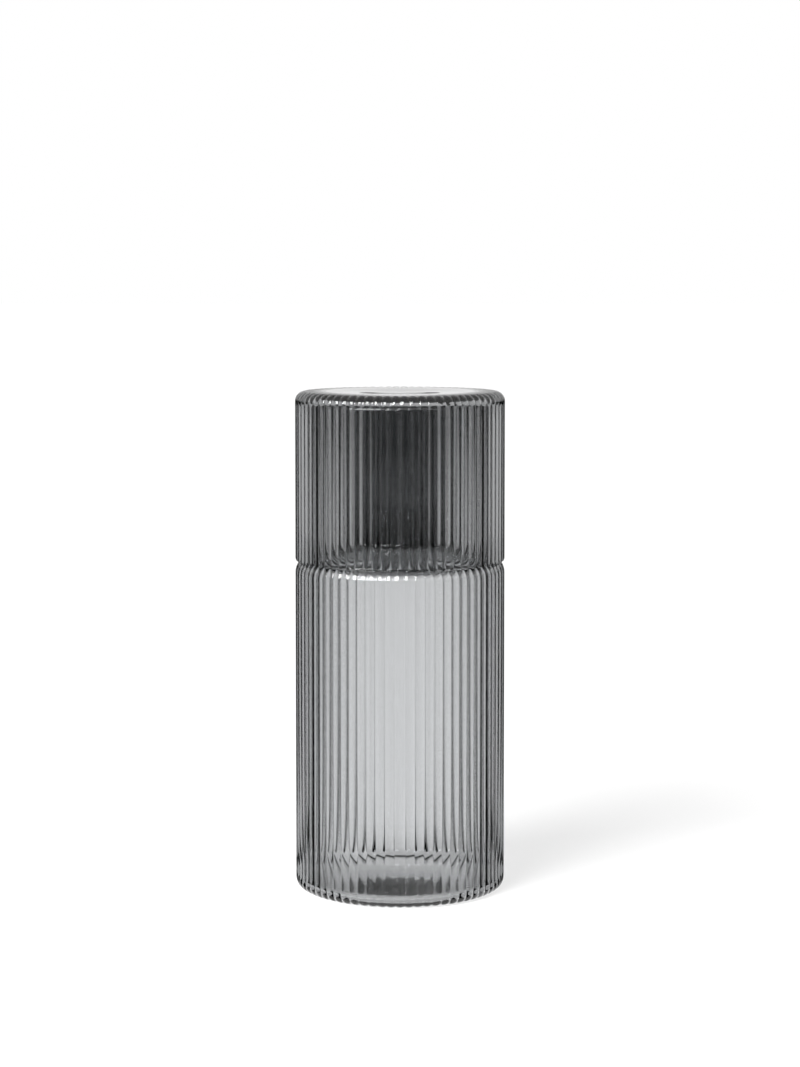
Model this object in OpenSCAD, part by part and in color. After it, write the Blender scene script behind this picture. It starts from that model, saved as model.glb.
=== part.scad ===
// Bedside carafe with its tumbler set upside down over the neck.
// Both pieces are ribbed, smoke grey glass of the same outside diameter.
// Millimetres, +Z up, the origin at the centre of the carafe's base.

/* [Both pieces] */
// Outside diameter of the carafe and of the tumbler, across the rib crests
outer_d = 90; // [76:1:110]
// How far the valley between two ribs lies below the crests
rib_relief = 0.45; // [0.3:0.05:1]

/* [Carafe] */
// Ribs around the carafe
carafe_ribs = 70; // [48:1:80]
// Height at which the straight side ends and the shoulder starts to curve
side_h = 136; // [90:1:180]
// Wall of the carafe, measured at a rib crest
carafe_wall = 2.6; // [2:0.1:3.6]
// Thickness of the carafe's base at the centre of its floor
carafe_floor = 3.6; // [3:0.1:9]
// Radius of the corner between the side and the base
base_corner_r = 3.2; // [2:0.1:5]
// Radius of the corner inside, between the wall and the floor
floor_corner_r = 4; // [2:0.5:10]
// Radius of the shallow hollow under the base
punt_r = 33; // [20:1:34]
// Depth of the shallow hollow under the base
punt_depth = 1; // [0.5:0.1:2]

/* [Shoulder] */
// Radius of the curve between the side and the shoulder
shoulder_r = 6.8; // [5:0.1:9]
// Turn of the shoulder's curve, in degrees from the side, where the dome takes over
shoulder_turn = 62; // [55:1:68]
// Turn, in degrees from the side, at which the dome meets the neck
dome_turn = 78; // [75:1:85]
// Plain ring of the dome, between the neck's foot and the ends of the ribs
plain_ring_w = 6.5; // [2:0.5:9]

/* [Neck] */
// Outside diameter of the neck
neck_d = 43; // [36:1:48]
// Wall of the neck
neck_wall = 7; // [4:0.5:8]
// Radius of the curve between the dome and the neck
neck_foot_r = 2; // [1.5:0.5:6]
// Radius of the rounded edges of the mouth
lip_r = 2.2; // [0.8:0.1:3]

/* [Tumbler] */
// Ribs around the tumbler
tumbler_ribs = 72; // [48:1:80]
// Height of the tumbler
tumbler_h = 73; // [60:1:100]
// Wall of the tumbler, measured at a rib crest
tumbler_wall = 2.6; // [2:0.1:3.6]
// Thickness of the tumbler's floor, which is uppermost here
tumbler_floor = 3.2; // [2.8:0.1:8]
// Radius of the corner between the tumbler's side and its flat end
tumbler_corner_r = 4.2; // [2:0.1:5]
// Radius of the corner inside, between the tumbler's wall and its floor
tumbler_floor_corner_r = 3; // [2:0.5:9]
// Radius of the shallow hollow in the tumbler's flat end
dish_r = 31; // [20:1:34]
// Depth of the shallow hollow in the tumbler's flat end
dish_depth = 0.6; // [0.4:0.1:1.5]
// Share of the rib relief that is left at the fire polished rim
rim_rib_share = 0.3; // [0:0.05:0.4]

/* [Fits] */
// Gap between the tumbler's rim and the shoulder that it rests on
seat_gap = 0.15; // [0.1:0.05:0.3]
// Gap between the mouth of the neck and the tumbler's floor
neck_clear = 1.8; // [1:0.1:6]

/* [Hidden] */

$fn = 128;

// One overrun for every cut that passes through a face
cut_over = 0.5;
// How far the neck's foot reaches down into the dome
neck_sink = 1.5;

// Points on one rib, and turns in degrees between the points of the curves
rib_points = 4;
corner_turn = 30;
arc_turn = 10;
flare_turn = 60;
quarter_turn = 90;
half_turn = 180;
full_turn = 360;

glass_smoke = [0.36, 0.37, 0.38, 0.6];
glass_smoke_dark = [0.26, 0.27, 0.28, 0.6];

outer_r = outer_d / 2;

// A point on a circle, its turn measured from straight outwards towards +Z
function on_arc(centre_r, centre_z, radius, turn) =
    [centre_r + radius * cos(turn), centre_z + radius * sin(turn)];

// Points along a circle from one turn to another, in equal steps of about step degrees
function arc_points(centre_r, centre_z, radius, from, to, step) =
    let (count = max(1, ceil(abs(to - from) / step)))
    [for (i = [0 : count]) on_arc(centre_r, centre_z, radius, from + (to - from) * i / count)];

// Shoulder and dome, the dome being the arc that carries the shoulder on to the neck
shoulder_centre_r = outer_r - shoulder_r;
dome_start = on_arc(shoulder_centre_r, side_h, shoulder_r, shoulder_turn);
neck_r = neck_d / 2;
bore_r = neck_r - neck_wall;
neck_foot_end_r = neck_r + neck_foot_r;
rib_end_r = neck_foot_end_r + plain_ring_w;
dome_r = (dome_start[0] - neck_r) / (cos(shoulder_turn) - cos(dome_turn));
dome_centre_r = dome_start[0] - dome_r * cos(shoulder_turn);
dome_centre_z = dome_start[1] - dome_r * sin(shoulder_turn);

// Turn and height of the dome at a radius, a given depth below its outside
function dome_turn_at(radius, depth) = acos((radius - dome_centre_r) / (dome_r - depth));
function dome_z_at(radius, depth) =
    dome_centre_z + (dome_r - depth) * sin(dome_turn_at(radius, depth));

// The tumbler's rim is a half round bead that rests on the shoulder's curve
rim_r = tumbler_wall / 2;
rim_centre_r = outer_r - rim_r;
seat_reach = shoulder_r + rim_r + seat_gap;
rim_centre_z = side_h + sqrt(pow(seat_reach, 2) - pow(rim_centre_r - shoulder_centre_r, 2));
tumbler_z = rim_centre_z - rim_r;
mouth_z = tumbler_z + tumbler_h - tumbler_floor - neck_clear;
neck_foot_z = dome_z_at(neck_foot_end_r, 0);

// Share of the rib relief at a radius on the dome, from none to all
function dome_rib_share(radius) =
    max(0, min(1, (radius - rib_end_r) / (dome_start[0] - rib_end_r)));

// Crest line of the carafe's outside as rings of radius, height and share of the relief
carafe_rings = concat(
    [for (p = arc_points(outer_r - base_corner_r, base_corner_r, base_corner_r,
                         -quarter_turn, 0, corner_turn)) [p[0], p[1], 1]],
    [for (p = arc_points(shoulder_centre_r, side_h, shoulder_r,
                         0, shoulder_turn, corner_turn / 2)) [p[0], p[1], 1]],
    [for (r = [(dome_start[0] + rib_end_r) / 2, rib_end_r, neck_foot_end_r])
        [r, dome_z_at(r, 0), dome_rib_share(r)]]
);

// Crest line of the tumbler's outside, from its rim up to its flat end
tumbler_rings = concat(
    [for (p = arc_points(rim_centre_r, rim_r, rim_r, -quarter_turn, 0, corner_turn))
        [p[0], p[1], rim_rib_share + (1 - rim_rib_share) * p[1] / rim_r]],
    [for (p = arc_points(outer_r - tumbler_corner_r, tumbler_h - tumbler_corner_r,
                         tumbler_corner_r, 0, quarter_turn, corner_turn)) [p[0], p[1], 1]]
);

// Share of the relief at a share of the way across a rib, from valley to valley
function rib_depth_share(across) = pow(2 * across - 1, 2);

// Corners of one ring after another, each going once around the axis
function ribbed_points(rings, ribs) =
    let (count = ribs * rib_points)
    [for (ring = rings)
        for (i = [0 : count - 1])
            let (across = (i % rib_points) / rib_points)
            let (r = ring[0] - rib_relief * ring[2] * rib_depth_share(across))
            let (turn = full_turn * i / count)
            [r * cos(turn), r * sin(turn), ring[1]]];

// Two triangles for each step around each band between two rings
function band_faces(levels, count) =
    [for (level = [0 : levels - 2])
        for (i = [0 : count - 1])
            let (next = (i + 1) % count)
            let (low = level * count, high = (level + 1) * count)
            each [[low + i, high + i, low + next], [low + next, high + i, high + next]]];

// One triangle for each step around a ring, all meeting at a point on the axis
function cap_faces(start, count, centre, upwards) =
    [for (i = [0 : count - 1])
        let (here = start + i, next = start + (i + 1) % count)
        upwards ? [next, here, centre] : [here, next, centre]];

// A solid whose sides are ribbed rings, closed by a flat face at each end
module ribbed_form(rings, ribs) {
    count = ribs * rib_points;
    levels = len(rings);
    last = levels - 1;
    centre = levels * count;
    polyhedron(
        points = concat(
            ribbed_points(rings, ribs),
            [[0, 0, rings[0][1]], [0, 0, rings[last][1]]]
        ),
        faces = concat(
            band_faces(levels, count),
            cap_faces(0, count, centre, false),
            cap_faces(last * count, count, centre + 1, true)
        )
    );
}

// Outline of the neck, from the glass of the dome up to the mouth
neck_outline = concat(
    [
        [0, neck_foot_z - neck_sink],
        [neck_foot_end_r, neck_foot_z - neck_sink / 2],
    ],
    arc_points(neck_foot_end_r, neck_foot_z + neck_foot_r, neck_foot_r,
               -quarter_turn - arc_turn, -half_turn, arc_turn),
    arc_points(neck_r - lip_r, mouth_z - lip_r, lip_r, 0, quarter_turn, arc_turn),
    [[0, mouth_z]]
);

// Outline of the hollow in the carafe, open at the mouth
carafe_inner_r = outer_r - carafe_wall;
inner_shoulder_r = shoulder_r - carafe_wall;
carafe_hollow_outline = concat(
    [[0, carafe_floor]],
    arc_points(carafe_inner_r - floor_corner_r, carafe_floor + floor_corner_r, floor_corner_r,
               -quarter_turn, 0, arc_turn),
    arc_points(shoulder_centre_r, side_h, inner_shoulder_r, 0, shoulder_turn, arc_turn),
    arc_points(dome_centre_r, dome_centre_z, dome_r - carafe_wall,
               shoulder_turn, dome_turn_at(bore_r, carafe_wall), arc_turn / 2),
    arc_points(bore_r + lip_r, mouth_z - lip_r, lip_r,
               half_turn, half_turn - flare_turn, arc_turn),
    [
        [bore_r + lip_r, mouth_z + cut_over],
        [0, mouth_z + cut_over],
    ]
);

// Outline of the hollow in the tumbler, open at the rim, its rim at height zero
tumbler_inner_r = outer_r - tumbler_wall;
tumbler_floor_z = tumbler_h - tumbler_floor;
tumbler_hollow_outline = concat(
    [
        [0, -cut_over],
        [rim_centre_r, -cut_over],
    ],
    arc_points(rim_centre_r, rim_r, rim_r,
               flare_turn - half_turn, -half_turn, arc_turn),
    arc_points(tumbler_inner_r - tumbler_floor_corner_r, tumbler_floor_z - tumbler_floor_corner_r,
               tumbler_floor_corner_r, 0, quarter_turn, arc_turn),
    [[0, tumbler_floor_z]]
);

// A shallow dish that opens downwards from height zero
module dish_cut(radius, depth) {
    rotate_extrude()
        polygon([
            [0, -cut_over],
            [radius + cut_over, -cut_over],
            [radius - depth, depth],
            [0, depth],
        ]);
}

module carafe() {
    color(glass_smoke)
        difference() {
            union() {
                ribbed_form(carafe_rings, carafe_ribs);
                rotate_extrude() polygon(neck_outline);
            }
            rotate_extrude() polygon(carafe_hollow_outline);
            dish_cut(punt_r, punt_depth);
        }
}

module tumbler() {
    color(glass_smoke_dark)
        translate([0, 0, tumbler_z])
            difference() {
                ribbed_form(tumbler_rings, tumbler_ribs);
                rotate_extrude() polygon(tumbler_hollow_outline);
                translate([0, 0, tumbler_h])
                    mirror([0, 0, 1])
                        dish_cut(dish_r, dish_depth);
            }
}

carafe();
tumbler();
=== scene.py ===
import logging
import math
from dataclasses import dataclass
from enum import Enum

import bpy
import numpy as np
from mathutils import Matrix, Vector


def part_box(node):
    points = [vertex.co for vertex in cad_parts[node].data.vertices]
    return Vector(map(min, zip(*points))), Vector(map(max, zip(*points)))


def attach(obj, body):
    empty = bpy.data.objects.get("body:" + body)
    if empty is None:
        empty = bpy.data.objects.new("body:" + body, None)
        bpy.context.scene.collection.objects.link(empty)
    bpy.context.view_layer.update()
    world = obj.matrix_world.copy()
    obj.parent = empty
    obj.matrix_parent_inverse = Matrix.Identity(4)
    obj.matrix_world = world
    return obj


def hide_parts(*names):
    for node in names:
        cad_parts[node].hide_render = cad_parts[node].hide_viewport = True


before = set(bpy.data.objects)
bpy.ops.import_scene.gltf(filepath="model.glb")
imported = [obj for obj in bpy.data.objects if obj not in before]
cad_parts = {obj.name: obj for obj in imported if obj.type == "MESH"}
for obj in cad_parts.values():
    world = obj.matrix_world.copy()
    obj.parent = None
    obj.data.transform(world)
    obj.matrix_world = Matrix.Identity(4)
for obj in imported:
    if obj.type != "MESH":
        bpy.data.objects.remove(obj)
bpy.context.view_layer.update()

# Looks of a bedside carafe with its tumbler set upside down over the neck.
#
# Both pieces are ribbed, smoke grey glass. Each is drawn as an outline in the
# plane through the axis, spun round that axis, and then given its ribs. The
# studio is a pale floor in front of a white field, with cards round the glass
# that show only in it: painted shade that draws its lines and dark reflections.

log = logging.getLogger("carafe")

MM = 0.001
FULL_TURN = 2 * math.pi
QUARTER_TURN = math.pi / 2
ORIGIN = (0.0, 0.0, 0.0)
WHITE = (1.0, 1.0, 1.0, 1.0)
QUARTERS = 4

# Steps along the arcs and the straight lines of the outlines
CORNER_STEPS = 12
BASE_STEPS = 10
INSIDE_STEPS = 8
FOOT_STEPS = 7
LIP_STEPS = 6
SHORT_LINE_STEPS = 3
LONG_LINE_STEPS = 4

# Radius and height in millimetres, and the share of the rib relief there
Point = tuple[float, float, float]


class SeenIn(Enum):
    """Where a studio card shows: in the gloss of the glass, or through it."""

    GLOSS = "gloss"
    GLASS = "glass"


def arc(
    centre_r: float, centre_z: float, radius: float, start: float, end: float,
    steps: int, share_start: float = 0.0, share_end: float = 0.0,
) -> list[Point]:
    """Points along a circle, with a rib share that changes evenly along it.

    Args:
        centre_r: Radius of the circle's centre from the axis.
        centre_z: Height of the circle's centre.
        radius: The circle's own radius.
        start: First turn in degrees, measured from straight outwards to +Z.
        end: Last turn in degrees.
        steps: Number of steps between the two.
        share_start: Rib share at the first point.
        share_end: Rib share at the last point.

    Returns:
        The points, both ends included.
    """
    points = []
    for step in range(steps + 1):
        along = step / steps
        turn = math.radians(start + (end - start) * along)
        points.append((
            centre_r + radius * math.cos(turn),
            centre_z + radius * math.sin(turn),
            share_start + (share_end - share_start) * along,
        ))
    return points


def line(start: Point, end: Point, steps: int) -> list[Point]:
    """Points between two points, both left out.

    Args:
        start: The point before the first one.
        end: The point after the last one.
        steps: Number of steps from start to end.

    Returns:
        The points between, in order.
    """
    return [
        tuple(a + (b - a) * step / steps for a, b in zip(start, end))
        for step in range(1, steps)
    ]


def deselect_all() -> None:
    """Leaves object mode with nothing selected."""
    if bpy.context.object and bpy.context.object.mode != "OBJECT":
        bpy.ops.object.mode_set(mode="OBJECT")
    bpy.ops.object.select_all(action="DESELECT")


@dataclass(frozen=True)
class SmokeGlass:
    """Clear glass tinted smoke grey, with the faint ripple of blown glass."""

    name: str
    tint: tuple[float, float, float] = (0.97, 0.975, 0.98)
    shade: tuple[float, float, float] = (0.10, 0.11, 0.12)
    density: float = 162.0
    refraction: float = 1.5
    roughness: float = 0.0
    ripple_height: float = 0.00002
    ripple_scale: float = 60.0
    ripple_stretch: tuple[float, float, float] = (1.0, 1.0, 0.12)

    def build(self) -> bpy.types.Material:
        """Makes the material.

        Returns:
            A glass shader whose body absorbs light evenly.
        """
        material = bpy.data.materials.new(self.name)
        material.use_nodes = True
        nodes = material.node_tree.nodes
        links = material.node_tree.links
        shader = nodes["Principled BSDF"]
        output = nodes["Material Output"]
        shader.inputs["Base Color"].default_value = (*self.tint, 1.0)
        shader.inputs["Transmission Weight"].default_value = 1.0
        shader.inputs["IOR"].default_value = self.refraction
        shader.inputs["Roughness"].default_value = self.roughness

        place = nodes.new("ShaderNodeTexCoord")
        stretch = nodes.new("ShaderNodeMapping")
        stretch.inputs["Scale"].default_value = self.ripple_stretch
        ripple = nodes.new("ShaderNodeTexNoise")
        ripple.inputs["Scale"].default_value = self.ripple_scale
        ripple.inputs["Detail"].default_value = 1.0
        bump = nodes.new("ShaderNodeBump")
        bump.inputs["Strength"].default_value = 1.0
        bump.inputs["Distance"].default_value = self.ripple_height
        links.new(place.outputs["Object"], stretch.inputs["Vector"])
        links.new(stretch.outputs["Vector"], ripple.inputs["Vector"])
        links.new(ripple.outputs["Fac"], bump.inputs["Height"])
        links.new(bump.outputs["Normal"], shader.inputs["Normal"])

        body = nodes.new("ShaderNodeVolumeAbsorption")
        body.inputs["Color"].default_value = (*self.shade, 1.0)
        body.inputs["Density"].default_value = self.density
        links.new(body.outputs["Volume"], output.inputs["Volume"])
        return material


@dataclass
class TurnedGlass:
    """A ribbed glass piece: an outline spun round the axis."""

    node: str
    glass: SmokeGlass
    ribs: int
    relief: float = 0.45
    columns_per_rib: int = 12
    merge_gap: float = 0.002
    depth_digits: int = 3

    def outline(self) -> list[Point]:
        """Gives the closed outline.

        Returns:
            Its points, from the axis and back to it.
        """
        raise NotImplementedError

    def draw_outline(self, points: list[Point]) -> bpy.types.Object:
        """Draws the outline as a chain of edges, one extruded after another.

        Args:
            points: The outline's points in millimetres.

        Returns:
            The object that holds the chain, in edit mode.
        """
        deselect_all()
        first = points[0]
        bpy.ops.mesh.primitive_plane_add(size=MM, location=(first[0] * MM, 0, first[1] * MM))
        piece = bpy.context.object
        piece.name = f"{self.node}_glass"
        piece.data.name = piece.name
        bpy.ops.object.transform_apply(location=True, rotation=True, scale=True)
        bpy.ops.object.mode_set(mode="EDIT")
        bpy.ops.mesh.select_all(action="SELECT")
        bpy.ops.mesh.merge(type="CENTER")
        for here, after in zip(points, points[1:]):
            step = ((after[0] - here[0]) * MM, 0.0, (after[1] - here[1]) * MM)
            bpy.ops.mesh.extrude_vertices_move(TRANSFORM_OT_translate={"value": step})
        return piece

    def spin_outline(self, piece: bpy.types.Object) -> None:
        """Spins the chain of edges into a closed surface round the axis.

        Args:
            piece: The object that holds the chain, in edit mode.
        """
        bpy.ops.object.mode_set(mode="OBJECT")
        turn = piece.modifiers.new("turn", "SCREW")
        turn.axis = "Z"
        turn.angle = FULL_TURN
        turn.steps = self.ribs * self.columns_per_rib
        turn.render_steps = turn.steps
        turn.use_merge_vertices = True
        turn.merge_threshold = self.merge_gap * MM
        bpy.ops.object.modifier_apply(modifier=turn.name)
        bpy.ops.object.mode_set(mode="EDIT")
        bpy.ops.mesh.select_all(action="SELECT")
        bpy.ops.mesh.remove_doubles(threshold=self.merge_gap * MM)
        bpy.ops.mesh.normals_make_consistent(inside=False)
        bpy.ops.object.mode_set(mode="OBJECT")

    def press_ribs(self, piece: bpy.types.Object, points: list[Point]) -> None:
        """Sinks the valleys between the ribs into the outside.

        Args:
            piece: The spun glass.
            points: The outline that it was spun from, with its rib shares.
        """
        count = len(piece.data.vertices)
        corners = np.empty(count * 3)
        piece.data.vertices.foreach_get("co", corners)
        corners = corners.reshape(-1, 3) / MM
        reach = np.hypot(corners[:, 0], corners[:, 1])
        share = np.zeros(count)
        nearest = np.full(count, np.inf)
        for radius, height, rib_share in points:
            gap = np.hypot(reach - radius, corners[:, 2] - height)
            closer = gap < nearest
            nearest[closer] = gap[closer]
            share[closer] = rib_share
        turn = np.arctan2(corners[:, 1], corners[:, 0]) / FULL_TURN
        column = np.rint(turn * self.ribs * self.columns_per_rib).astype(int)
        across = (column % self.columns_per_rib) / self.columns_per_rib
        depth = np.round(share * (2 * across - 1) ** 2, self.depth_digits)
        valleys = piece.vertex_groups.new(name="valleys")
        for weight in np.unique(depth[depth > 0]):
            valleys.add(np.flatnonzero(depth == weight).tolist(), float(weight), "REPLACE")
        press = piece.modifiers.new("ribs", "DISPLACE")
        press.vertex_group = valleys.name
        press.direction = "NORMAL"
        press.mid_level = 0.0
        press.strength = -self.relief * MM
        bpy.ops.object.modifier_apply(modifier=press.name)
        piece.vertex_groups.clear()

    def build(self) -> bpy.types.Object:
        """Makes the piece and puts it in the place of its CAD node.

        Returns:
            The finished glass.
        """
        points = self.outline()
        piece = self.draw_outline(points)
        self.spin_outline(piece)
        self.press_ribs(piece, points)
        bpy.ops.object.shade_smooth()
        piece.data.materials.clear()
        piece.data.materials.append(self.glass.build())
        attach(piece, self.node)
        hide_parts(self.node)
        log.info("%s: %d faces", piece.name, len(piece.data.polygons))
        return piece


@dataclass
class Tumbler(TurnedGlass):
    """The tumbler, upside down: its rim low and its flat end high."""

    low: float = 0.0
    high: float = 0.0
    outer_r: float = 0.0
    wall: float = 2.6
    floor: float = 3.2
    corner_r: float = 4.2
    floor_corner_r: float = 3.0
    dish_depth: float = 0.6
    end_rib_w: float = 9.0
    end_steps: int = 6
    end_fade: float = 1.5
    dish_steps: int = 8
    rim_share: float = 0.3

    def outline(self) -> list[Point]:
        """Gives the closed outline.

        Returns:
            Its points, from the middle of the floor inside to the flat end.
        """
        rim_r = self.wall / 2
        rim_centre_r = self.outer_r - rim_r
        inner_r = self.outer_r - self.wall
        floor_z = self.high - self.floor
        inside_corner = arc(
            inner_r - self.floor_corner_r, floor_z - self.floor_corner_r,
            self.floor_corner_r, 90, 0, INSIDE_STEPS,
        )
        inner_rim = arc(rim_centre_r, self.low + rim_r, rim_r, -180, -90, LIP_STEPS)
        outer_rim = arc(
            rim_centre_r, self.low + rim_r, rim_r, -90, 0, LIP_STEPS, self.rim_share, 1,
        )
        corner_r = self.outer_r - self.corner_r
        corner = arc(
            corner_r, self.high - self.corner_r, self.corner_r, 0, 90, CORNER_STEPS, 1, 1,
        )
        end = []
        for step in range(1, self.end_steps + 1):
            along = step / self.end_steps
            fade = (1 - along) ** self.end_fade
            end.append((corner_r - self.end_rib_w * along, self.high, fade))
        dish_r = end[-1][0]
        dish = []
        for step in range(1, self.dish_steps + 1):
            along = step / self.dish_steps
            dip = math.sin(QUARTER_TURN * along) ** 2
            dish.append((dish_r * (1 - along), self.high - self.dish_depth * dip, 0.0))
        return [
            (0.0, floor_z, 0.0),
            *line((0.0, floor_z, 0.0), inside_corner[0], SHORT_LINE_STEPS),
            *inside_corner,
            *line(inside_corner[-1], inner_rim[0], SHORT_LINE_STEPS),
            *inner_rim[:-1],
            *outer_rim,
            *line(outer_rim[-1], corner[0], SHORT_LINE_STEPS),
            *corner,
            *end,
            *dish,
        ]


@dataclass
class Carafe(TurnedGlass):
    """The carafe: body, shoulder, dome and neck in one piece of glass."""

    high: float = 0.0
    outer_r: float = 0.0
    side_h: float = 136.0
    wall: float = 2.6
    floor: float = 3.6
    floor_rise: float = 2.0
    base_corner_r: float = 3.2
    floor_corner_r: float = 4.0
    punt_r: float = 33.0
    punt_depth: float = 0.1
    punt_steps: int = 10
    base_share: float = 0.75
    floor_steps: int = 12
    shoulder_r: float = 6.8
    shoulder_turn: float = 62.0
    dome_turn: float = 78.0
    dome_steps: int = 14
    dome_fade: float = 2.5
    neck_r: float = 21.5
    neck_wall: float = 7.0
    neck_foot_r: float = 2.0
    neck_foot_lean: float = 14.0
    plain_ring_w: float = 6.5
    lip_r: float = 2.2

    def dome(self) -> tuple[float, float, float]:
        """Gives the arc of the dome's outside.

        Returns:
            The radius and the height of its centre, and its own radius.
        """
        shoulder_centre_r = self.outer_r - self.shoulder_r
        low_turn = math.radians(self.shoulder_turn)
        high_turn = math.radians(self.dome_turn)
        start_r = shoulder_centre_r + self.shoulder_r * math.cos(low_turn)
        start_z = self.side_h + self.shoulder_r * math.sin(low_turn)
        radius = (start_r - self.neck_r) / (math.cos(low_turn) - math.cos(high_turn))
        centre_r = start_r - radius * math.cos(low_turn)
        centre_z = start_z - radius * math.sin(low_turn)
        return centre_r, centre_z, radius

    def outline(self) -> list[Point]:
        """Gives the closed outline.

        Returns:
            Its points, from the middle of the base to that of the floor inside.
        """
        dome_centre_r, dome_centre_z, dome_r = self.dome()
        shoulder_centre_r = self.outer_r - self.shoulder_r
        inner_r = self.outer_r - self.wall
        bore_r = self.neck_r - self.neck_wall

        punt = []
        for step in range(self.punt_steps + 1):
            along = step / self.punt_steps
            dip = math.cos(QUARTER_TURN * along) ** 2
            punt.append((self.punt_r * along, self.punt_depth * dip, 0.0))
        base_r = self.outer_r - self.base_corner_r
        base_corner = arc(
            base_r, self.base_corner_r, self.base_corner_r, -90, 0, BASE_STEPS, self.base_share, 1,
        )
        shoulder = arc(
            shoulder_centre_r, self.side_h, self.shoulder_r, 0, self.shoulder_turn,
            BASE_STEPS, 1, 1,
        )
        foot_end_r = self.neck_r + self.neck_foot_r
        rib_end_r = foot_end_r + self.plain_ring_w
        foot_turn = math.degrees(math.acos((foot_end_r - dome_centre_r) / dome_r))
        rib_w = shoulder[-1][0] - rib_end_r
        dome = []
        for step in range(1, self.dome_steps + 1):
            along = step / self.dome_steps
            turn = math.radians(self.shoulder_turn + (foot_turn - self.shoulder_turn) * along)
            radius = dome_centre_r + dome_r * math.cos(turn)
            share = max(0.0, (radius - rib_end_r) / rib_w) ** self.dome_fade
            dome.append((radius, dome_centre_z + dome_r * math.sin(turn), share))
        foot = arc(
            foot_end_r, dome[-1][1] + self.neck_foot_r, self.neck_foot_r,
            -90 - self.neck_foot_lean, -180, FOOT_STEPS,
        )
        lip_z = self.high - self.lip_r
        lip_outside = arc(self.neck_r - self.lip_r, lip_z, self.lip_r, 0, 90, LIP_STEPS)
        lip_inside = arc(bore_r + self.lip_r, lip_z, self.lip_r, 90, 180, LIP_STEPS)
        inner_dome_r = dome_r - self.wall
        bore_turn = math.degrees(math.acos((bore_r - dome_centre_r) / inner_dome_r))
        inner_dome = arc(
            dome_centre_r, dome_centre_z, inner_dome_r, bore_turn, self.shoulder_turn,
            CORNER_STEPS,
        )
        inner_shoulder = arc(
            shoulder_centre_r, self.side_h, self.shoulder_r - self.wall,
            self.shoulder_turn, 0, INSIDE_STEPS,
        )
        floor_edge_r = inner_r - self.floor_corner_r
        floor_edge_z = self.floor - self.floor_rise
        inside_corner = arc(
            floor_edge_r, floor_edge_z + self.floor_corner_r, self.floor_corner_r, 0, -90,
            INSIDE_STEPS,
        )
        floor = []
        for step in range(1, self.floor_steps + 1):
            along = step / self.floor_steps
            rise = self.floor_rise * math.sin(QUARTER_TURN * along) ** 2
            floor.append((floor_edge_r * (1 - along), floor_edge_z + rise, 0.0))
        return [
            *punt,
            *line(punt[-1], base_corner[0], LONG_LINE_STEPS),
            *base_corner,
            *line(base_corner[-1], shoulder[0], LONG_LINE_STEPS),
            *shoulder,
            *dome,
            *foot,
            *line(foot[-1], lip_outside[0], SHORT_LINE_STEPS),
            *lip_outside,
            *lip_inside,
            *line(lip_inside[-1], inner_dome[0], SHORT_LINE_STEPS),
            *inner_dome,
            *inner_shoulder[1:],
            *line(inner_shoulder[-1], inside_corner[0], LONG_LINE_STEPS),
            *inside_corner,
            *floor,
        ]


@dataclass(frozen=True)
class PaintedShadeCard:
    """A curved card of painted shade that stands round the object, once in each quarter.

    Lengths are in metres and turns in degrees. Where it has a foot, the card
    also lies on the floor, from its foot's reach outwards.
    """

    name: str
    seen_in: SeenIn
    reach: float
    low: float
    high: float
    turn: float
    half_width: float
    low_shade: float = 0.0
    high_shade: float = 0.0
    foot: float = 0.0
    fade: float = 1.0

    def build_painted_shade(self) -> bpy.types.Material:
        """Makes the card's painted shade, which changes evenly over its fade's share of height.

        Returns:
            A glowing material that paints its shade and that no lamp changes.
        """
        painted_shade_material = bpy.data.materials.new(self.name)
        painted_shade_material.use_nodes = True
        nodes = painted_shade_material.node_tree.nodes
        links = painted_shade_material.node_tree.links
        nodes.clear()
        output = nodes.new("ShaderNodeOutputMaterial")
        # Painted shade: the card glows at its own level, which sets how dark or light it shows in
        # the glass.
        glow = nodes.new("ShaderNodeEmission")
        place = nodes.new("ShaderNodeTexCoord")
        axes = nodes.new("ShaderNodeSeparateXYZ")
        rise = nodes.new("ShaderNodeMapRange")
        rise.inputs["From Min"].default_value = self.low
        rise.inputs["From Max"].default_value = self.low + self.fade * (self.high - self.low)
        rise.inputs["To Min"].default_value = self.low_shade
        rise.inputs["To Max"].default_value = self.high_shade
        links.new(place.outputs["Object"], axes.inputs["Vector"])
        links.new(axes.outputs["Z"], rise.inputs["Value"])
        links.new(rise.outputs["Result"], glow.inputs["Strength"])
        links.new(glow.outputs["Emission"], output.inputs["Surface"])
        return painted_shade_material


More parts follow.
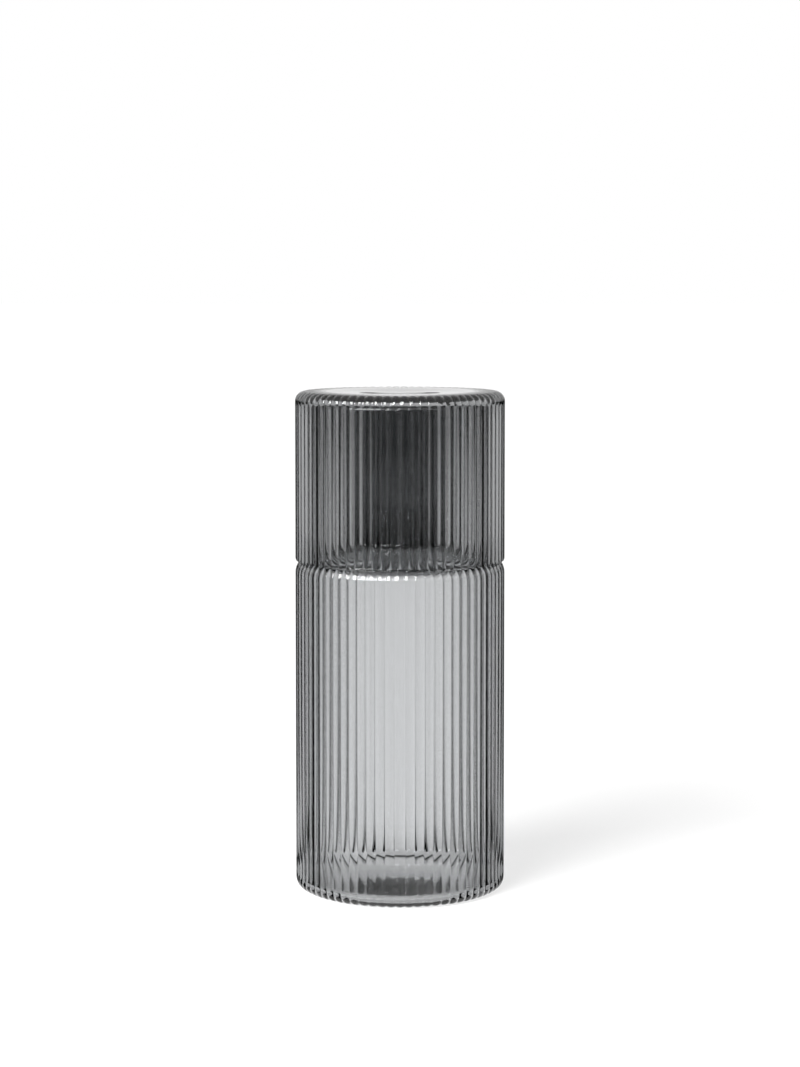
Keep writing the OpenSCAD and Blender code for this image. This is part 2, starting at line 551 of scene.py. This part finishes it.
@dataclass
class Studio:
    """Floor, white field, cards, lamps and camera, in metres and degrees."""

    field_strength: float = 1.0
    ambient: float = 0.3
    floor_glow: float = 0.74
    floor_in_glass: float = 0.95
    floor_shade: float = 0.25
    floor_drop: float = 0.0003
    floor_size: float = 40.0
    camera_distance: float = 1.0327
    camera_height: float = 0.2639
    camera_pitch: float = 3.631
    lens: float = 81.28
    sensor_height: float = 36.0
    shift: float = 0.1
    clip: tuple[float, float] = (0.01, 100.0)
    softbox_energy: float = 25.0
    softbox_turn: float = -34.0
    softbox_rise: float = 30.0
    softbox_reach: float = 1.2
    softbox_aim_z: float = 0.14
    softbox_size: tuple[float, float] = (0.75, 0.62)
    daylight: float = 5.0
    daylight_place: tuple[float, float, float] = (-1.0, -1.0, 1.5)
    daylight_tilt: float = 56.0
    daylight_turn: float = -45.0
    daylight_angle: float = 35.0
    card_columns: int = 360
    cards: tuple[PaintedShadeCard, ...] = (
        # Painted shade: black cards seen only through the glass, 26 degrees either side of each
        # quarter, which draw the dark lines in the ribs; their feet lie on the floor from close to
        # the glass outwards.
        PaintedShadeCard(
            name="painted_edge_shade_left", seen_in=SeenIn.GLASS, reach=0.6, low=0.002, high=0.4,
            turn=26.0, half_width=5.5, foot=0.047,
        ),
        PaintedShadeCard(
            name="painted_edge_shade_right", seen_in=SeenIn.GLASS, reach=0.6, low=0.002, high=0.4,
            turn=-26.0, half_width=5.5, foot=0.047,
        ),
        # Painted shade: a card seen only through the glass, once in each quarter, white at its
        # foot and black from a little higher up, so that the neck looks darker towards its top.
        PaintedShadeCard(
            name="painted_far_shade", seen_in=SeenIn.GLASS, reach=0.3, low=0.112, high=0.4,
            turn=0.0, half_width=15.0, low_shade=1.0, fade=0.26,
        ),
        # Painted reflection: a black ring seen only in the glass's gloss, low round it and on the
        # floor from close by, which darkens what the glass mirrors there.
        PaintedShadeCard(
            name="painted_dark_reflection", seen_in=SeenIn.GLOSS, reach=0.3, low=0.001, high=0.22,
            turn=45.0, half_width=45.0, foot=0.048,
        ),
    )

    def seen_level(
        self, nodes: bpy.types.Nodes, links: bpy.types.NodeLinks, straight: float, in_glass: float,
    ) -> bpy.types.NodeSocket:
        """Adds a value for what is seen straight, and mirrored or through glass.

        Args:
            nodes: The node tree's nodes.
            links: The node tree's links.
            straight: The value where it is seen straight.
            in_glass: The value where it is mirrored or seen through the glass.

        Returns:
            The socket that carries the value, which is zero for all other light.
        """
        path = nodes.new("ShaderNodeLightPath")
        either = nodes.new("ShaderNodeMath")
        either.operation = "MAXIMUM"
        links.new(path.outputs["Is Glossy Ray"], either.inputs[0])
        links.new(path.outputs["Is Transmission Ray"], either.inputs[1])
        camera = nodes.new("ShaderNodeMath")
        camera.operation = "MULTIPLY"
        camera.inputs[1].default_value = straight
        links.new(path.outputs["Is Camera Ray"], camera.inputs[0])
        level = nodes.new("ShaderNodeMath")
        level.operation = "MULTIPLY_ADD"
        level.inputs[1].default_value = in_glass
        links.new(either.outputs["Value"], level.inputs[0])
        links.new(camera.outputs["Value"], level.inputs[2])
        return level.outputs["Value"]

    def build_world(self) -> None:
        """Makes a white field for the eye and a plainer light for the pieces."""
        world = bpy.data.worlds.new("studio_field")
        bpy.context.scene.world = world
        world.use_nodes = True
        nodes = world.node_tree.nodes
        links = world.node_tree.links
        nodes.clear()
        output = nodes.new("ShaderNodeOutputWorld")
        seen = nodes.new("ShaderNodeBackground")
        seen.inputs["Color"].default_value = WHITE
        seen.inputs["Strength"].default_value = self.field_strength
        lit = nodes.new("ShaderNodeBackground")
        lit.inputs["Color"].default_value = WHITE
        lit.inputs["Strength"].default_value = self.ambient
        mix = nodes.new("ShaderNodeMixShader")
        links.new(self.seen_level(nodes, links, straight=1.0, in_glass=1.0), mix.inputs["Fac"])
        links.new(lit.outputs["Background"], mix.inputs[1])
        links.new(seen.outputs["Background"], mix.inputs[2])
        links.new(mix.outputs["Shader"], output.inputs["Surface"])

    def build_floor(self) -> bpy.types.Object:
        """Makes the pale floor, which glows white to the eye and still takes shadows.

        Returns:
            The floor.
        """
        deselect_all()
        bpy.ops.mesh.primitive_plane_add(size=self.floor_size, location=(0, 0, -self.floor_drop))
        floor = bpy.context.object
        floor.name = "studio_floor"
        material = bpy.data.materials.new("pale_floor")
        material.use_nodes = True
        nodes = material.node_tree.nodes
        links = material.node_tree.links
        nodes.clear()
        output = nodes.new("ShaderNodeOutputMaterial")
        matt = nodes.new("ShaderNodeBsdfDiffuse")
        matt.inputs["Color"].default_value = (*[self.floor_shade] * 3, 1)
        glow = nodes.new("ShaderNodeEmission")
        glow.inputs["Color"].default_value = WHITE
        level = self.seen_level(nodes, links, self.floor_glow, self.floor_in_glass)
        both = nodes.new("ShaderNodeAddShader")
        links.new(level, glow.inputs["Strength"])
        links.new(matt.outputs["BSDF"], both.inputs[0])
        links.new(glow.outputs["Emission"], both.inputs[1])
        links.new(both.outputs["Shader"], output.inputs["Surface"])
        floor.data.materials.append(material)
        return floor

    def fold_foot(self, piece: bpy.types.Object, card: PaintedShadeCard) -> None:
        """Folds the foot of a card inwards along the floor.

        Args:
            piece: The card, still a whole ring.
            card: Its sizes.
        """
        bpy.ops.object.mode_set(mode="EDIT")
        bpy.ops.mesh.select_mode(type="VERT")
        bpy.ops.mesh.select_all(action="DESELECT")
        bpy.ops.object.mode_set(mode="OBJECT")
        for vertex in piece.data.vertices:
            vertex.select = vertex.co.z < (card.low + card.high) / 2
        bpy.ops.object.mode_set(mode="EDIT")
        bpy.ops.mesh.extrude_region_move(TRANSFORM_OT_translate={"value": ORIGIN})
        share = card.foot / card.reach
        bpy.ops.transform.resize(value=(share, share, 1.0), center_override=ORIGIN)
        bpy.ops.object.mode_set(mode="OBJECT")

    def build_card(self, card: PaintedShadeCard) -> list[bpy.types.Object]:
        """Stands one kind of painted-shade card round the object, once in each quarter.

        Args:
            card: Its place, size and shade, and where it shows.

        Returns:
            The cards, which neither the camera nor the lamps' light meets.
        """
        painted_shade_material = card.build_painted_shade()
        pieces = []
        for quarter in range(QUARTERS):
            deselect_all()
            bpy.ops.mesh.primitive_cylinder_add(
                vertices=self.card_columns, radius=card.reach, depth=card.high - card.low,
                end_fill_type="NOTHING", location=(0, 0, (card.high + card.low) / 2),
            )
            piece = bpy.context.object
            piece.name = f"{card.name}_{quarter}"
            bpy.ops.object.transform_apply(location=True, rotation=True, scale=True)
            if card.foot:
                self.fold_foot(piece, card)
            bpy.ops.object.mode_set(mode="EDIT")
            middle = QUARTER_TURN * quarter + math.radians(card.turn)
            for side in (-1, 1):
                edge = middle + side * math.radians(card.half_width)
                bpy.ops.mesh.select_all(action="SELECT")
                bpy.ops.mesh.bisect(
                    plane_co=ORIGIN,
                    plane_no=(-side * math.sin(edge), side * math.cos(edge), 0.0),
                    clear_outer=True, clear_inner=False,
                )
            bpy.ops.object.mode_set(mode="OBJECT")
            piece.data.materials.append(painted_shade_material)
            # Painted shade: the cards show only in the glass's gloss or through the glass, never
            # to the camera, and they neither light nor shadow anything.
            piece.visible_camera = False
            piece.visible_diffuse = False
            piece.visible_shadow = False
            piece.visible_glossy = card.seen_in is SeenIn.GLOSS
            piece.visible_transmission = card.seen_in is SeenIn.GLASS
            pieces.append(piece)
        return pieces

    def build_softbox(self) -> bpy.types.Object:
        """Hangs the softbox in front, to the left of the camera.

        Returns:
            The lamp.
        """
        turn = math.radians(self.softbox_turn)
        rise = math.radians(self.softbox_rise)
        reach = self.softbox_reach
        place = (
            reach * math.cos(rise) * math.sin(turn),
            -reach * math.cos(rise) * math.cos(turn),
            self.softbox_aim_z + reach * math.sin(rise),
        )
        deselect_all()
        bpy.ops.object.light_add(type="AREA", location=place)
        lamp = bpy.context.object
        lamp.name = "softbox"
        lamp.rotation_euler = (QUARTER_TURN - rise, 0.0, turn)
        lamp.data.shape = "RECTANGLE"
        lamp.data.size, lamp.data.size_y = self.softbox_size
        lamp.data.energy = self.softbox_energy
        return lamp

    def build_daylight(self) -> bpy.types.Object:
        """Adds the broad soft light from the softbox's side, which gives the shadow.

        Returns:
            The lamp.
        """
        deselect_all()
        bpy.ops.object.light_add(type="SUN", location=self.daylight_place)
        lamp = bpy.context.object
        lamp.name = "daylight"
        lamp.rotation_euler = (
            math.radians(self.daylight_tilt), 0.0, math.radians(self.daylight_turn),
        )
        lamp.data.angle = math.radians(self.daylight_angle)
        lamp.data.energy = self.daylight
        lamp.visible_glossy = False
        lamp.visible_transmission = False
        return lamp

    def build_camera(self) -> bpy.types.Object:
        """Sets up the camera.

        Returns:
            The camera, which is the scene's own.
        """
        deselect_all()
        bpy.ops.object.camera_add(
            location=(0.0, -self.camera_distance, self.camera_height),
            rotation=(QUARTER_TURN - math.radians(self.camera_pitch), 0.0, 0.0),
        )
        camera = bpy.context.object
        camera.name = "studio_camera"
        camera.data.sensor_fit = "VERTICAL"
        camera.data.sensor_height = self.sensor_height
        camera.data.lens = self.lens
        camera.data.shift_y = -self.shift
        camera.data.clip_start, camera.data.clip_end = self.clip
        bpy.context.scene.camera = camera
        return camera

    def build(self) -> None:
        """Builds the whole studio."""
        bpy.context.scene.view_settings.view_transform = "Standard"
        self.build_world()
        self.build_floor()
        for card in self.cards:
            self.build_card(card)
        self.build_softbox()
        self.build_daylight()
        self.build_camera()
        log.info("studio ready")


def main() -> None:
    """Builds the studio and both pieces of glass, in order."""
    logging.basicConfig(level=logging.INFO, format="%(message)s")
    carafe_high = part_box("carafe")[1]
    tumbler_low, tumbler_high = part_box("tumbler")
    outer_r = max(carafe_high.y, carafe_high.x) / MM

    Studio().build()
    Carafe(
        node="carafe", glass=SmokeGlass("carafe_smoke_glass"), ribs=70, relief=0.45,
        high=carafe_high.z / MM, outer_r=outer_r,
    ).build()
    Tumbler(
        node="tumbler", glass=SmokeGlass("tumbler_smoke_glass"), ribs=72, relief=0.55,
        low=tumbler_low.z / MM, high=tumbler_high.z / MM, outer_r=outer_r,
    ).build()


if __name__ == "__main__":
    main()
